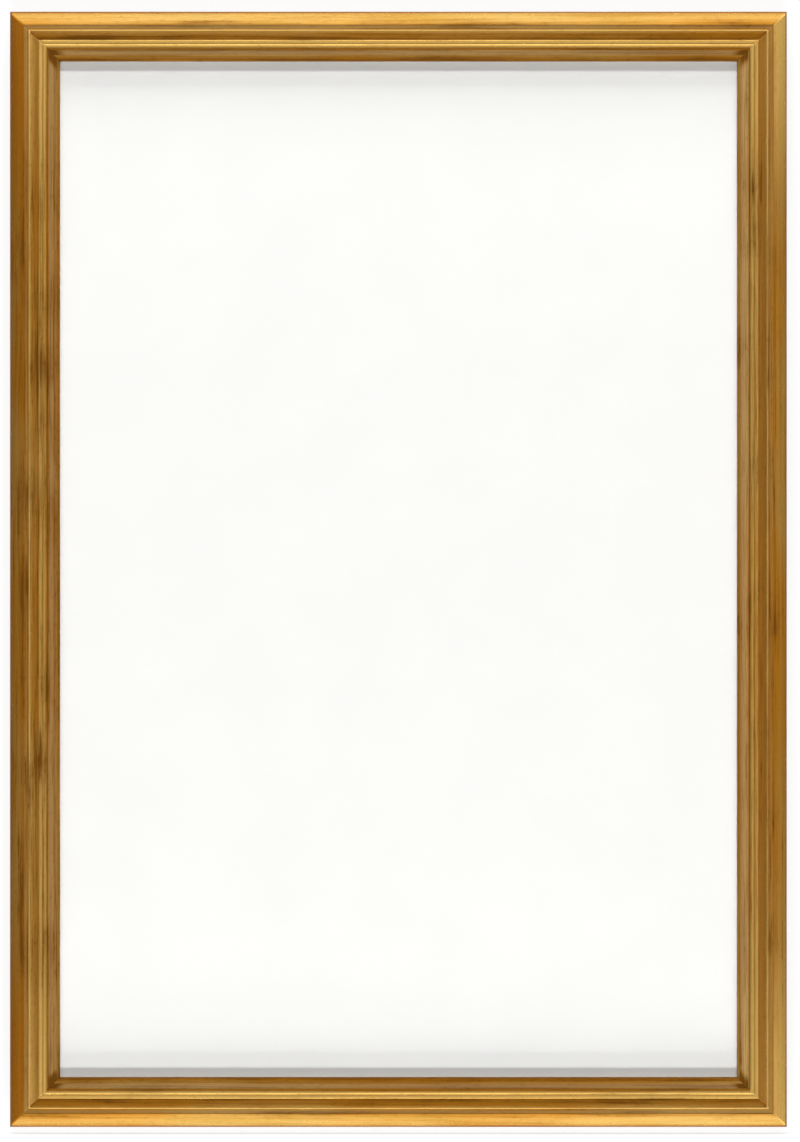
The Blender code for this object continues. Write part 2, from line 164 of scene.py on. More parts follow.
def put(piece, place, turn=0.0):
    """Turns the selected piece about Y and moves it, with its place kept in its mesh."""
    piece.rotation_euler = (0, turn, 0)
    piece.location = place
    bpy.ops.object.transform_apply(location=True, rotation=True, scale=True)


def fit(piece, body, node):
    """Shades the finished piece, puts it in place of the plain solid and fixes it to its body."""
    bpy.ops.object.select_all(action="DESELECT")
    piece.select_set(True)
    bpy.context.view_layer.objects.active = piece
    bpy.ops.object.shade_smooth()
    bpy.ops.object.mode_set(mode="EDIT")
    bpy.ops.mesh.select_mode(type="EDGE")
    bpy.ops.mesh.select_all(action="DESELECT")
    bpy.ops.mesh.edges_select_sharp(sharpness=crease_angle)
    bpy.ops.mesh.mark_sharp()
    bpy.ops.object.mode_set(mode="OBJECT")
    work(piece, "WEIGHTED_NORMAL", keep_sharp=True)
    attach(piece, body)
    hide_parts(node)


class Shade:
    """A socket of a finish. Sums on it add Math nodes, and node() adds any other."""

    def __init__(self, socket):
        self.socket = socket

    def node(self, kind, settings, sockets, out=0):
        """Adds a node: its settings first, then what goes into its sockets."""
        tree = self.socket.id_data
        made = tree.nodes.new("ShaderNode" + kind)
        for name, value in settings.items():
            if name == "stops":
                ramp = made.color_ramp
                ramp.elements.remove(ramp.elements[1])
                for number, (position, level) in enumerate(value):
                    stop = ramp.elements[0] if number == 0 else ramp.elements.new(position)
                    stop.position = position
                    stop.color = (level, level, level, 1)
            else:
                setattr(made, name, value)
        for name, value in sockets.items():
            if isinstance(value, Shade):
                tree.links.new(value.socket, made.inputs[name])
            else:
                made.inputs[name].default_value = value
        return Shade(made.outputs[out])

    def math(self, operation, first, second=0.0):
        return self.node("Math", {"operation": operation}, {0: first, 1: second})

    def __add__(self, other):
        return self.math("ADD", self, other)

    __radd__ = __add__

    def __sub__(self, other):
        return self.math("SUBTRACT", self, other)

    def __rsub__(self, other):
        return self.math("SUBTRACT", other, self)

    def __mul__(self, other):
        return self.math("MULTIPLY", self, other)

    __rmul__ = __mul__

    def __abs__(self):
        return self.math("ABSOLUTE", self)

    def between(self, low, high):
        """0 up to low, 1 from high on, and a smooth rise from one to the other."""
        limits = {"Value": self, "From Min": low, "From Max": high}
        return self.node("MapRange", {"interpolation_type": "SMOOTHSTEP"}, limits)

    def tint(self, first, second):
        """One colour where this is 0 and the other where it is 1."""
        colours = [c if isinstance(c, Shade) else (*c, 1) for c in (first, second)]
        return self.node("Mix", {"data_type": "RGBA"}, {0: self, 6: colours[0], 7: colours[1]}, 2)

    def parts(self):
        """The three parts of a place."""
        split = self.node("SeparateXYZ", {}, {0: self})
        return [Shade(part) for part in split.socket.node.outputs]

    def feed(self, socket):
        socket.id_data.links.new(self.socket, socket)


def new_finish(name, **constants):
    """A material with its shader, and the place on the piece that its patterns read."""
    finish = bpy.data.materials.new(name)
    finish.use_nodes = True
    shader = finish.node_tree.nodes["Principled BSDF"]
    for socket, value in constants.items():
        shader.inputs[socket.replace("_", " ")].default_value = value
    place = Shade(finish.node_tree.nodes.new("ShaderNodeTexCoord").outputs["Object"])
    return finish, shader, place


def raise_grain(shader, height, depth, strength=1.0):
    """Feeds a height pattern to the shader as bump."""
    bump = height.node("Bump", {}, {"Strength": strength, "Distance": depth, "Height": height})
    bump.feed(shader.inputs["Normal"])


def rail_lines(place):
    """Where a point lies on its rail: how far along, how far in from the outer edge, and which rail."""
    x, y, z = place.parts()
    from_side = frame_width / 2 - abs(x)
    from_end = frame_height / 2 - abs(z)
    across = place.math("MINIMUM", from_side, from_end)
    upright = place.math("LESS_THAN", from_side, from_end)
    along = z * upright + x * (1 - upright)
    which = place.math("SIGN", x) * upright * 3 + place.math("SIGN", z) * (1 - upright) * 7
    corner = abs(from_side - from_end)
    return along, across, which, corner, upright


def drawn_noise(lines, along_scale, across_scale, layer, detail=3.0):
    """Noise drawn out along the rail, with this many features to the metre each way."""
    along, across, which = lines[:3]
    run = along.node(
        "CombineXYZ", {}, {0: along * along_scale, 1: across * across_scale, 2: which + layer}
    )
    return along.node("TexNoise", {}, {"Vector": run, "Scale": 1.0, "Detail": detail})


# How much brown glaze lies at each distance from the outer edge, in millimetres; its rise over the lip
# to the sight edge is painted shade
glaze_and_shade_lie = (
    (0.0, 0.40), (2.0, 0.04), (6.0, 0.0), (8.8, 0.18), (11.0, 0.40), (11.9, 0.46), (12.2, 0.48),
    (12.8, 0.24), (15.2, 0.24), (16.1, 0.50), (16.6, 0.10), (17.4, 0.0), (18.6, 0.35), (20.0, 0.62),
    (23.0, 0.84), (24.8, 0.98), (25.2, 0.12), (26.3, 0.0), (28.3, 0.03), (28.8, 0.12), (29.2, 0.03),
    (31.0, 0.0), (32.1, 0.35), (32.9, 0.92), (33.8, 0.75), (34.4, 0.24), (37.8, 0.22), (40.0, 0.48),
    (42.2, 0.80), (44.0, 1.0),
)
# Bright leaf for the crests, also used as the painted highlight near the top and bottom of the right
# upright
bright_leaf_and_highlight = (0.870, 0.550, 0.150)
leaf_pale = (0.600, 0.385, 0.108)
leaf_warm = (0.505, 0.200, 0.013)
leaf_olive = (0.440, 0.240, 0.032)
# Orange used only as painted light: near the top and bottom of the left upright, and in the cove of the
# right one
orange_painted_light = (0.560, 0.198, 0.011)
# The brown of the glaze, also used for painted shade over the lip and on the uprights
glaze_and_shade_brown = (0.160, 0.060, 0.005)
grey_dust = (0.330, 0.215, 0.120)
red_clay = (0.150, 0.045, 0.014)


def gilded_face():
    """Worn leaf, with painted shade and painted light. Each span of across is in metres from the outer
    edge, as in the section above.
    """
    finish, shader, place = new_finish("gilded_face", Specular_IOR_Level=0.05)
    lines = rail_lines(place)
    along, across, which, corner, upright = lines
    long_streak = drawn_noise(lines, 8, 420, 0)
    streak = drawn_noise(lines, 26, 1000, 10, 2.0)
    cloud = drawn_noise(lines, 13, 50, 20)
    drift = drawn_noise(lines, 5, 14, 40, 2.0)
    fleck = drawn_noise(lines, 420, 900, 60, 2.0)
    hair = drawn_noise(lines, 90, 2600, 80, 2.0)
    mottle = drawn_noise(lines, 150, 330, 120)
    smudge = drawn_noise(lines, 9, 14, 140, 2.0).between(0.54, 0.74) * 0.30
    right_side = upright * which.between(0, 3)
    # Painted highlight: each upright is lit up near its top and bottom, fading out 5 to 19 cm in
    lit_upright_ends = upright * (1 - (frame_height / 2 - abs(along)).between(0.05, 0.19))
    ledge = across.between(0.0122, 0.0126) * (1 - across.between(0.0152, 0.0160)) * 0.5

    # Glaze left in the hollows, with painted shade over the lip. The uprights carry less of it, and the
    # right one least, as painted light.
    stops = [(mm / (rail_width * 1000), level) for mm, level in glaze_and_shade_lie]
    hollow_glaze_and_shade = across.node("ValToRGB", {"stops": stops}, {0: across * (1 / rail_width)})
    # Painted light: the uprights carry less glaze past the ridge, the right one least
    lit_past_ridge = across.between(0.0165, 0.0175) * (upright * 0.35 + right_side * 0.20)
    hollow_glaze_and_shade = hollow_glaze_and_shade * (1 - upright * 0.20 - lit_past_ridge)
    mood = 0.60 + (cloud - 0.5) * 1.8 + (long_streak - 0.5) * 1.2
    glaze_and_shade = place.math("MAXIMUM", hollow_glaze_and_shade * mood, 0.0)

    # Dirt rubbed into the leaf: streaks, blots and smudges. The extra darkening of the uprights,
    # weighted between left and right, is painted shade, and less of it near their top and bottom is
    # painted highlight.
    drawn = long_streak.between(0.50, 0.66) * 0.34 + streak.between(0.52, 0.68) * 0.30
    blot = cloud.between(0.52, 0.74) * (0.35 + long_streak.between(0.40, 0.66) * 0.65)
    dirt_and_shade = drawn * (0.45 + upright * 0.55) + blot * (0.20 + upright * 0.42)
    # Painted side light: the right upright is lightened and the left one darkened, by amounts that
    # change across the section
    side_light_lean = 0.045 - across.between(0.0125, 0.0160) * 0.055 + across.between(0.0182, 0.0195) * 0.038
    side_light_lean = side_light_lean + across.between(0.0330, 0.0345) * 0.016
    # Painted shade: the uprights are darkened all along, together with smudges of dirt
    upright_shade_and_soil = 0.13 - across.between(0.0115, 0.0130) * 0.03 + ledge * 0.2 - which * side_light_lean + smudge
    dirt_and_shade = dirt_and_shade + upright * upright_shade_and_soil
    # Painted highlight: less darkening near the top and bottom of each upright
    lit_end_clearing = lit_upright_ends * (0.75 - across.between(0.0330, 0.0340) * 0.65)
    dirt_and_shade = dirt_and_shade * (1 - lit_end_clearing) + mottle.between(0.52, 0.74) * 0.20

    # Glaze in the inner corners, painted shade along the lip of the top and bottom rails, and specks of
    # glaze everywhere
    band_end = across.between(0.0378 + upright * 0.002, 0.0394 + upright * 0.004)
    band = across.between(0.0338, 0.0344) * (1 - band_end)
    nook = band * (1 - corner.between(0.003, 0.014))
    # Painted shade: darkening over the lip of the top and bottom rails, with glaze in the inner corners
    lip_shade_and_nook_glaze = across.between(0.0395, 0.0440) * (1 - upright) * 0.50 + nook * 0.95
    speck = fleck.between(0.69, 0.76) * cloud.between(0.42, 0.62)
    cover = place.math("MINIMUM", glaze_and_shade + dirt_and_shade + lip_shade_and_nook_glaze + speck * 0.7, 1.0)

    # Leaf, warmer where it is thinner, with cool patches. The uprights are warmer as painted shade, and
    # near their top and bottom they take other leaf as painted reflection.
    thin_leaf_and_shade = drift.between(0.38, 0.64) * 0.35 + long_streak.between(0.40, 0.70) * 0.25
    # Painted shade: the uprights are tinted warmer, less so past the ridge
    thin_leaf_and_shade = thin_leaf_and_shade + upright * (0.40 - across.between(0.016, 0.018) * 0.20)
    thin_leaf_and_shade = thin_leaf_and_shade * (1 - lit_upright_ends * across.between(0.012, 0.016) * 0.6) + hollow_glaze_and_shade * 1.0
    colour = place.math("MINIMUM", thin_leaf_and_shade, 1.0).tint(leaf_pale, leaf_warm)
    cool = drawn_noise(lines, 7, 60, 100, 2.0).between(0.50, 0.70) * (0.5 - upright * 0.2)
    colour = (cool * (1 - hollow_glaze_and_shade * 0.6)).tint(colour, leaf_olive)
    # Painted reflection: orange leaf near the top and bottom of the left upright, bright leaf on the
    # right one
    end_reflection_leaf = (which * (1 / 6) + 0.5).tint(orange_painted_light, bright_leaf_and_highlight)
    colour = (lit_upright_ends * (1 - across.between(0.0115, 0.0125)) * 0.85).tint(colour, end_reflection_leaf)

    # Bright leaf left on the crests, reaching into the cove of the uprights as painted light, dimmer on
    # the uprights as painted shade and brighter near their top and bottom as painted highlight. The
    # orange in the cove of the right rail is painted light.
    # Painted light: on the uprights the bright crests reach down into the cove
    lit_upright_cove = upright * 0.65 * (1 - across.between(0.0235, 0.0250))
    crest_and_lit_cove = (1 - (hollow_glaze_and_shade * (1 - lit_upright_cove)).between(0.0, 0.15)) * across.between(0.0155, 0.0165)
    # Painted shade: the crests of the uprights are dimmed, with streaks of wear; painted highlight
    # brightens them near their top and bottom
    upright_loss_and_shade = 0.26 + which * 0.03 + streak.between(0.42, 0.60) * 0.34
    upright_loss_and_shade = upright_loss_and_shade + across.between(0.0240, 0.0250) * 0.14
    kept_leaf_and_end_light = 0.88 - upright * upright_loss_and_shade + lit_upright_ends * 0.45
    colour = (crest_and_lit_cove * kept_leaf_and_end_light).tint(colour, bright_leaf_and_highlight)
    # Painted light: orange in the cove of the right rail
    right_cove_light = right_side * across.between(0.0180, 0.0195) * (1 - across.between(0.0240, 0.0255))
    colour = (right_cove_light * 0.6).tint(colour, orange_painted_light)

    # Dust on the flats, then the glaze with the painted shade, then clay bared at the outer edge and the
    # mitres
    dust = (band * (1 - nook) + ledge) * (0.48 + (long_streak - 0.5) * 0.8)
    colour = dust.tint(colour, grey_dust)
    colour = cover.tint(colour, glaze_and_shade_brown)
    rub = (1 - across.between(0.0006, 0.0019)) * (0.60 + long_streak * 0.5)
    seam = (1 - corner.between(0.0001, 0.0006)) * 0.1
    bared = place.math("MINIMUM", rub + seam, 1.0)
    colour = bared.tint(colour, red_clay)
    colour.feed(shader.inputs["Base Color"])

    dull = place.math("MINIMUM", cover * 0.45 + bared * 0.8 + dust * 0.6, 0.9)
    (1 - dull).feed(shader.inputs["Metallic"])
    rough = 0.25 + (streak - 0.5) * 0.16 + (cloud - 0.5) * 0.14 + hollow_glaze_and_shade.between(0.0, 0.25) * 0.06
    (rough + cover * 0.14 + bared * 0.2 + dust * 0.2).feed(shader.inputs["Roughness"])
    mitre = place.math("MAXIMUM", 1 - corner * (1 / 0.002), 0.0)
    grain = long_streak * 0.4 + streak * 0.3 + hair * 0.3 + fleck * 0.3
    raise_grain(shader, grain - mitre * mitre * 4, 0.00012, 0.6)
    return finish


def stained_wall():
    finish, shader, place = new_finish("stained_wall", Specular_IOR_Level=0.2)
    lines = rail_lines(place)
    grain = drawn_noise(lines, 20, 500, 5)
    y = place.parts()[1]
    depth = place.node("CombineXYZ", {}, {0: lines[0] * 30, 1: y * 700, 2: lines[2]})
    streak = place.node("TexNoise", {}, {"Vector": depth, "Scale": 1.0, "Detail": 4.0})
    colour = streak.between(0.3, 0.75).tint((0.215, 0.088, 0.028), (0.110, 0.044, 0.016))
    over = (0 - y).between(0.0160, 0.0196) * (0.35 + streak * 0.9)
    colour = place.math("MINIMUM", over, 1.0).tint(colour, leaf_warm)
    colour.feed(shader.inputs["Base Color"])
    place.math("MINIMUM", over * 0.8, 0.9).feed(shader.inputs["Metallic"])
    (0.5 + (streak - 0.5) * 0.3 + (grain - 0.5) * 0.1).feed(shader.inputs["Roughness"])
    raise_grain(shader, streak, 0.00015, 0.5)
    return finish


def bare_wood():
    finish, shader, place = new_finish("bare_wood")
    lines = rail_lines(place)
    ring = drawn_noise(lines, 2.2, 170, 3, 2.0)
    fibre = drawn_noise(lines, 45, 2400, 9, 3.0)
    pore = drawn_noise(lines, 160, 1500, 15, 2.0)
    late = ring.between(0.42, 0.66)
    colour = late.tint((0.640, 0.455, 0.270), (0.470, 0.285, 0.140))
    colour = (fibre.between(0.45, 0.8) * 0.35).tint(colour, (0.330, 0.190, 0.090))
    smear = (1 - lines[1].between(0.0004, 0.0042)) * (0.25 + ring * 0.7)
    colour = smear.tint(colour, (0.200, 0.085, 0.032))
    colour.feed(shader.inputs["Base Color"])
    (0.70 + (fibre - 0.5) * 0.2).feed(shader.inputs["Roughness"])
    raise_grain(shader, fibre * 0.6 + pore * 0.4 + late * 0.2, 0.0002, 0.5)
    return finish


corner_points = [Vector((0, 0))]
for end, bulge, steps in moulding:
    corner_points += bent(corner_points[-1], Vector(end), bulge, steps)
stick = draw_line(
    "moulding_stick", [Vector((-stick_length / 2, rail_back - h, -s)) for s, h in corner_points]
)
bpy.ops.mesh.select_all(action="SELECT")
bpy.ops.mesh.edge_face_add()
bpy.ops.mesh.extrude_region_move(TRANSFORM_OT_translate={"value": (stick_length, 0, 0)})
bpy.ops.mesh.select_all(action="SELECT")
bpy.ops.mesh.normals_make_consistent(inside=False)


def runs_lengthwise(edge):
    return abs(edge.verts[0].co.x - edge.verts[1].co.x) > stick_length / 2


for (s, h), width, steps in eased_arrises:
    spot = Vector((rail_back - h, -s))
    pick(stick, "EDGE", lambda e: runs_lengthwise(e) and (e.verts[0].co.yz - spot).length < same_place)
    bpy.ops.mesh.bevel(offset=width, segments=steps, affect="EDGES")
pick(stick, "EDGE", runs_lengthwise)
bpy.ops.mesh.subdivide(number_cuts=stick_cuts)

for finish in (gilded_face(), stained_wall(), bare_wood()):
    stick.data.materials.append(finish)


def is_outer_wall(face):
    middle = face.calc_center_median()
    return middle.z > -back_ease and middle.y > rail_back - wall_height + wall_ease


def is_bare(face):
    middle = face.calc_center_median()
    in_rabbet = middle.z < back_ease - rabbet_wall and middle.y > rail_back - lip_underside - back_ease
    return middle.y > rail_back - back_ease or in_rabbet


for number, chosen in ((1, is_outer_wall), (2, is_bare)):
    pick(stick, "FACE", chosen)
    stick.active_material_index = number
    bpy.ops.object.material_slot_assign()
bpy.ops.object.mode_set(mode="OBJECT")

ripple = bpy.data.textures.new("hand_finish", "CLOUDS")
ripple.noise_scale = 0.028
ripple.noise_depth = 1
ripple_height = 0.0001
rails = {}
sides = (("top", frame_height), ("right", frame_width), ("bottom", frame_height), ("left", frame_width))
for quarter, (side, reach) in enumerate(sides):
    turn = quarter * math.pi / 2
    outward = Vector((math.sin(turn), 0, math.cos(turn)))
    onward = Vector((math.cos(turn), 0, -math.sin(turn)))
    rail = copy_of(stick, "rail_" + side)
    put(rail, outward * reach / 2, turn)
    work(rail, "DISPLACE", texture=ripple, texture_coords="LOCAL", strength=ripple_height, mid_level=0.5)
    bpy.ops.object.mode_set(mode="EDIT")
    half_length = (frame_height + frame_width - reach) / 2
    for end in (-1, 1):
        normal = (onward * end - outward).normalized()
        corner = outward * reach / 2 + onward * end * half_length
        bpy.ops.mesh.select_all(action="SELECT")
        bpy.ops.mesh.bisect(
            plane_co=corner - normal * mitre_gap / 2, plane_no=normal, use_fill=True, clear_outer=True
        )
    bpy.ops.object.mode_set(mode="OBJECT")
    rails[side] = rail
bpy.data.objects.remove(stick)


# V-nails: bent strips of spring steel, driven from the back across each mitre, two to a corner, to pull
# the joint tight. They sit a little below the wood, each in the slot that it cut for itself.

v_nail_corners = ("top_left", "top_right", "bottom_right", "bottom_left")
v_nails = [f"v_nail_{corner}_{row}" for corner in v_nail_corners for row in ("outer", "inner")]
slot_clearance = 0.00015
slot_top = 0.002
nail_back_zone = 0.002

slots = [copy_of(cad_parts[nail], "nail_slot") for nail in v_nails]
for piece in slots:
    piece.select_set(True)
bpy.ops.object.join()
slot_cutter = bpy.context.object
bpy.ops.object.mode_set(mode="EDIT")
bpy.ops.mesh.select_all(action="SELECT")
bpy.ops.mesh.remove_doubles(threshold=exact_place)
bpy.ops.mesh.normals_make_consistent(inside=False)
bpy.ops.transform.shrink_fatten(value=slot_clearance)
pick(slot_cutter, "VERT", lambda v: v.co.y > rail_back - nail_back_zone)
bpy.ops.transform.translate(value=(0, slot_top, 0))
bpy.ops.object.mode_set(mode="OBJECT")
for side, rail in rails.items():
    work(rail, "BOOLEAN", object=slot_cutter, operation="DIFFERENCE", solver="EXACT")
    fit(rail, "frame", side + "_rail")
bpy.data.objects.remove(slot_cutter)


def spring_steel():
    finish, shader, place = new_finish("spring_steel", Metallic=1.0)
    cloud = place.node("TexNoise", {}, {"Vector": place, "Scale": 420.0, "Detail": 4.0})
    bloom = place.node("TexNoise", {}, {"Vector": place, "Scale": 90.0, "Detail": 2.0})
    colour = cloud.between(0.35, 0.7).tint((0.330, 0.335, 0.350), (0.190, 0.190, 0.205))
    colour = (bloom.between(0.56, 0.72) * 0.6).tint(colour, (0.230, 0.130, 0.070))
    colour.feed(shader.inputs["Base Color"])
    (0.32 + cloud * 0.2).feed(shader.inputs["Roughness"])
    raise_grain(shader, cloud, 0.00003, 0.5)
    return finish


nail_steel = spring_steel()
for nail in v_nails:
    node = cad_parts[nail]
    node.data.materials.clear()
    node.data.materials.append(nail_steel)


# Glazing: a sheet of clear float glass cut to the rabbet, its edges seamed by stone so that they don't
# cut. It lies against the roof of the rabbet, behind the lip.

pane_half_width = 0.305
pane_half_height = 0.455
pane_seam = 0.0004


def cut_panel(name, node, edge, steps):
    """A flat panel of the size of the plain solid, its edges eased."""
    low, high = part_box(node)
    bpy.ops.object.select_all(action="DESELECT")
    bpy.ops.mesh.primitive_cube_add(size=1.0)
    piece = bpy.context.object
    piece.name = name
    piece.scale = high - low
    put(piece, (low + high) / 2)
    bpy.ops.object.mode_set(mode="EDIT")
    bpy.ops.mesh.select_all(action="SELECT")
    bpy.ops.mesh.bevel(offset=edge, segments=steps, affect="EDGES")
    return piece


def float_glass():
    finish, shader, place = new_finish("float_glass")
    tree = finish.node_tree
    x, y, z = place.parts()
    past_width = abs(x) - (pane_half_width - pane_seam)
    past_height = abs(z) - (pane_half_height - pane_seam)
    rim = place.math("MAXIMUM", past_width, past_height).between(0.0, 0.0003)
    film = place.node("TexNoise", {}, {"Vector": place, "Scale": 7.0, "Detail": 3.0})
    inside = Shade(tree.nodes.new("ShaderNodeNewGeometry").outputs["Backfacing"])
    gleam = place.node("Fresnel", {}, {"IOR": 1.5}) * (1 - inside)
    clear = place.node("BsdfTransparent", {}, {"Color": (0.992, 0.994, 0.992, 1)})
    mirror = place.node("BsdfGlossy", {}, {"Color": (1, 1, 1, 1), "Roughness": 0.02})
    pane = place.node("MixShader", {}, {0: gleam * (0.96 + film * 0.08), 1: clear, 2: mirror})
    rim.tint((0.55, 0.78, 0.70), (0.16, 0.36, 0.29)).feed(shader.inputs["Base Color"])
    (0.35 + film * 0.2).feed(shader.inputs["Roughness"])
    seamed = place.node("MixShader", {}, {0: rim, 1: pane, 2: Shade(shader.outputs[0])})
    seamed.feed(tree.nodes["Material Output"].inputs["Surface"])
    return finish


pane = cut_panel("glass_pane", "glazing", pane_seam, 2)
bpy.ops.object.mode_set(mode="OBJECT")
pane.data.materials.append(float_glass())
fit(pane, "frame", "glazing")


# Picture sheet: a plain sheet of heavy white paper, cut square and left blank. It is held flat between
# the glass and the filler board.

def white_paper():
    finish, shader, place = new_finish("white_paper")
    pulp = place.node("TexNoise", {}, {"Vector": place, "Scale": 900.0, "Detail": 3.0})
    cloud = place.node("TexNoise", {}, {"Vector": place, "Scale": 14.0, "Detail": 3.0})
    colour = cloud.between(0.3, 0.7).tint((0.920, 0.920, 0.920), (0.908, 0.908, 0.910))
    colour = (pulp.between(0.55, 0.8) * 0.25).tint(colour, (0.860, 0.860, 0.860))
    colour.feed(shader.inputs["Base Color"])
    (0.82 + (pulp - 0.5) * 0.15).feed(shader.inputs["Roughness"])
    raise_grain(shader, pulp, 0.00003, 0.6)
    return finish


sheet = cut_panel("blank_sheet", "picture_sheet", 0.0001, 1)
bpy.ops.object.mode_set(mode="OBJECT")
sheet.data.materials.append(white_paper())
fit(sheet, "frame", "picture_sheet")


# Filler board: grey-white foam board that fills the rabbet behind the sheet and keeps it pressed flat.
# Its paper faces are smooth and its cut edges show the foam.

def foam_board():
    finish, shader, place = new_finish("foam_board")
    cell = place.node("TexVoronoi", {}, {"Vector": place, "Scale": 1100.0})
    pulp = place.node("TexNoise", {}, {"Vector": place, "Scale": 60.0, "Detail": 4.0})
    colour = pulp.between(0.3, 0.75).tint((0.800, 0.795, 0.770), (0.740, 0.735, 0.710))
    colour.feed(shader.inputs["Base Color"])
    (0.75 + pulp * 0.15).feed(shader.inputs["Roughness"])
    raise_grain(shader, cell, 0.00008, 0.4)
    return finish


filler = cut_panel("filler_panel", "filler_board", 0.0003, 1)
bpy.ops.object.mode_set(mode="OBJECT")
filler.data.materials.append(foam_board())
fit(filler, "frame", "filler_board")


# Backing board: brown hardboard of pressed wood fibre, sawn to the rabbet with its edges broken. It
# closes the back, flush with the rails, and the turn buttons hold it in.

def hardboard():
    finish, shader, place = new_finish("hardboard")
    fibre = place.node("TexNoise", {}, {"Vector": place, "Scale": 260.0, "Detail": 6.0})
    shive = place.node("TexNoise", {}, {"Vector": place, "Scale": 1500.0, "Detail": 2.0})
    cloud = place.node("TexNoise", {}, {"Vector": place, "Scale": 9.0, "Detail": 4.0})
    colour = cloud.between(0.3, 0.7).tint((0.315, 0.194, 0.099), (0.282, 0.168, 0.084))
    colour = (shive.between(0.58, 0.74) * 0.55).tint(colour, (0.480, 0.330, 0.190))
    colour = (fibre.between(0.56, 0.72) * 0.45).tint(colour, (0.160, 0.090, 0.045))
    colour.feed(shader.inputs["Base Color"])
    (0.50 + (cloud - 0.5) * 0.25 + shive * 0.12).feed(shader.inputs["Roughness"])
    raise_grain(shader, fibre * 0.5 + shive * 0.5, 0.00006, 0.6)
    return finish


backing = cut_panel("backing_panel", "backing_board", 0.0005, 2)
bpy.ops.object.mode_set(mode="OBJECT")
backing.data.materials.append(hardboard())
fit(backing, "frame", "backing_board")


# Turn buttons: flat plates of zinc-plated steel with round ends, stamped with a hole near one end. Ten
# of them swing on their screws over the backing board to hold the pack in.

button_width = 0.011
button_length = 0.030
button_thickness = 0.0012
button_hole = 0.0018
button_gap = 0.0003
button_edge = 0.00025
button_crease = 1.0


def plated_steel(name, light, dark, yellow, rough):
    """Zinc plate over steel: clouded, finely scratched and a little yellow in places."""
    finish, shader, place = new_finish(name, Metallic=1.0)
    cloud = place.node("TexNoise", {}, {"Vector": place, "Scale": 160.0, "Detail": 4.0})
    spangle = place.node("TexVoronoi", {}, {"Vector": place, "Scale": 900.0})
    stretch = place.node("Mapping", {}, {"Vector": place, "Scale": (4000.0, 4000.0, 150.0)})
    scratch = place.node("TexNoise", {}, {"Vector": stretch, "Scale": 1.0, "Detail": 2.0})
    colour = cloud.between(0.3, 0.7).tint(light, dark)
    bloom = place.node("TexNoise", {}, {"Vector": place, "Scale": 70.0, "Detail": 2.0})
    colour = (bloom.between(0.5, 0.72) * 0.5).tint(colour, yellow)
    colour.feed(shader.inputs["Base Color"])
    (rough + (cloud - 0.5) * 0.16 + scratch.between(0.5, 0.8) * 0.14).feed(shader.inputs["Roughness"])
    raise_grain(shader, spangle * 0.4 + scratch * 0.6, 0.00002, 0.5)
    return finish


bpy.ops.object.select_all(action="DESELECT")
bpy.ops.mesh.primitive_circle_add(vertices=64, radius=button_width / 2, rotation=(math.pi / 2, 0, 0))
button = bpy.context.object
button.name = "turn_button_pattern"
bpy.ops.object.transform_apply(location=True, rotation=True, scale=True)
bpy.ops.object.mode_set(mode="EDIT")
pick(button, "VERT", lambda v: v.co.z < 0)
bpy.ops.transform.translate(value=(0, 0, button_width - button_length))
bpy.ops.mesh.select_all(action="DESELECT")
bpy.ops.mesh.primitive_circle_add(vertices=64, radius=button_hole, rotation=(math.pi / 2, 0, 0))
bpy.ops.mesh.select_all(action="SELECT")
bpy.ops.mesh.bridge_edge_loops()
bpy.ops.mesh.select_all(action="SELECT")
bpy.ops.mesh.extrude_region_move(TRANSFORM_OT_translate={"value": (0, button_thickness, 0)})
bpy.ops.mesh.select_all(action="SELECT")
bpy.ops.mesh.normals_make_consistent(inside=False)
pick(button, "EDGE", lambda e: e.calc_face_angle(0) > button_crease)
bpy.ops.mesh.bevel(offset=button_edge, segments=3, affect="EDGES")
bpy.ops.object.mode_set(mode="OBJECT")
button_zinc = plated_steel(
    "button_zinc", (0.640, 0.650, 0.660), (0.520, 0.530, 0.545), (0.620, 0.570, 0.440), 0.30
)
button.data.materials.append(button_zinc)

# Where each pivot lies from the middle of the frame, and its quarter turn
pivot_z = 0.4635
pivot_x = 0.3135
short_spread = 0.194
long_spread = 0.344
button_pivots = {
    "top_1": (-short_spread, pivot_z, 0), "top_2": (short_spread, pivot_z, 0),
    "right_1": (pivot_x, long_spread, 1), "right_2": (pivot_x, 0.0, 1),
    "right_3": (pivot_x, -long_spread, 1),
    "bottom_1": (-short_spread, -pivot_z, 2), "bottom_2": (short_spread, -pivot_z, 2),
    "left_1": (-pivot_x, long_spread, 3), "left_2": (-pivot_x, 0.0, 3),
    "left_3": (-pivot_x, -long_spread, 3),
}
for label, (x, z, quarter) in button_pivots.items():
    piece = copy_of(button, "button_plate_" + label)
    put(piece, (x, rail_back + button_gap, z), quarter * math.pi / 2)
    fit(piece, "button_" + label, "turn_button_" + label)
bpy.data.objects.remove(button)


# Screws: pan-head wood screws of plated steel with a cross recess. One pins each turn button to its
# rail, and two hold each hanger strap.

head_radius = 0.0032
head_height = 0.0021
crown_radius = 0.0018
crown_bulge = 0.00036
rim_height = 0.0007
rim_ease = 0.00012
shank_radius = 0.0015
screw_length = 0.0125
point_length = 0.003
recess_depth = 0.0012
recess_slot = 0.00085
recess_arm = 0.00125
recess_taper = 0.72
cutter_rise = 0.0005
weld_distance = 2e-6

